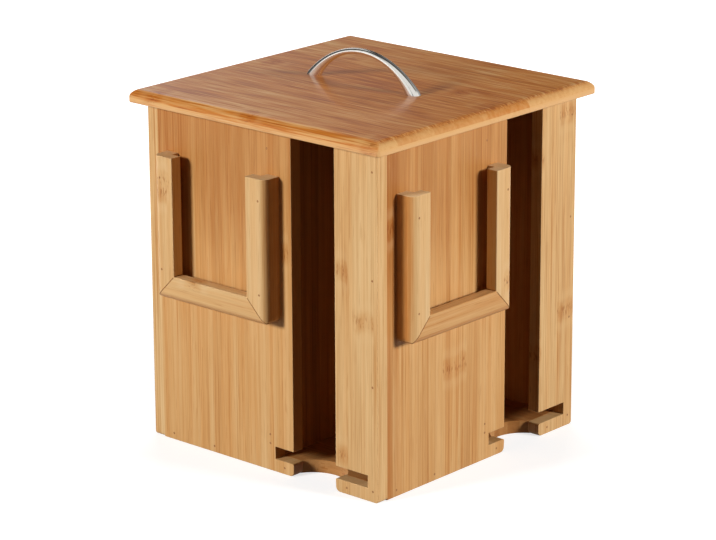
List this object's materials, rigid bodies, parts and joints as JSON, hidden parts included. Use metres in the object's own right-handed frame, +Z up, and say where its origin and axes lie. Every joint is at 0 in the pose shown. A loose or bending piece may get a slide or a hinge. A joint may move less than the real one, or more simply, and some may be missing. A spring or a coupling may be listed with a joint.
{
  "type": "tea bag organizer box",
  "caption": "Square bamboo box with tall slots and low mouths for stacks of tea bags, open-top display frames on its sides and a lift-off lid with a bow handle.",
  "frame": {"origin": "centre of the box's footprint, on the surface that it stands on", "axes": "+Z up; the front wall faces -Y and the handle runs along X"},
  "size_m": [0.205, 0.205, 0.2375],
  "materials": {
    "wall_bamboo": "satin lacquered bamboo, vertical grain",
    "inner_bamboo": "plain bamboo, lightly lacquered",
    "frame_bamboo": "satin lacquered bamboo moulding",
    "lid_bamboo": "satin lacquered darker bamboo, horizontal grain",
    "handle_chrome": "polished chrome plate",
    "screw_steel": "zinc plated",
    "brad_steel": "set heads touched in brown"
  },
  "bodies": {
    "box": {"base_panel": "inner_bamboo", "front_wide_board": "wall_bamboo", "right_wide_board": "wall_bamboo", "back_wide_board": "wall_bamboo", "left_wide_board": "wall_bamboo", "front_narrow_board": "wall_bamboo", "right_narrow_board": "wall_bamboo", "back_narrow_board": "wall_bamboo", "left_narrow_board": "wall_bamboo", "front_divider": "inner_bamboo", "right_divider": "inner_bamboo", "back_divider": "inner_bamboo", "left_divider": "inner_bamboo", "front_frame_left_stile": "frame_bamboo", "right_frame_left_stile": "frame_bamboo", "back_frame_left_stile": "frame_bamboo", "left_frame_left_stile": "frame_bamboo", "front_frame_right_stile": "frame_bamboo", "right_frame_right_stile": "frame_bamboo", "back_frame_right_stile": "frame_bamboo", "left_frame_right_stile": "frame_bamboo", "front_frame_rail": "frame_bamboo", "right_frame_rail": "frame_bamboo", "back_frame_rail": "frame_bamboo", "left_frame_rail": "frame_bamboo", "front_wall_brads": "brad_steel", "right_wall_brads": "brad_steel", "back_wall_brads": "brad_steel", "left_wall_brads": "brad_steel", "front_frame_brads": "brad_steel", "right_frame_brads": "brad_steel", "back_frame_brads": "brad_steel", "left_frame_brads": "brad_steel"},
    "lid": {"lid_panel": "lid_bamboo", "lid_cleat_left": "inner_bamboo", "lid_cleat_right": "inner_bamboo", "cleat_screws": "screw_steel", "handle": "handle_chrome", "handle_screws": "screw_steel"}
  },
  "joints": [
    {"name": "lid_lift", "type": "slide", "parent": "box", "child": "lid", "axis": [0, 0, 1], "range_m": [0, 0.12]}
  ]
}
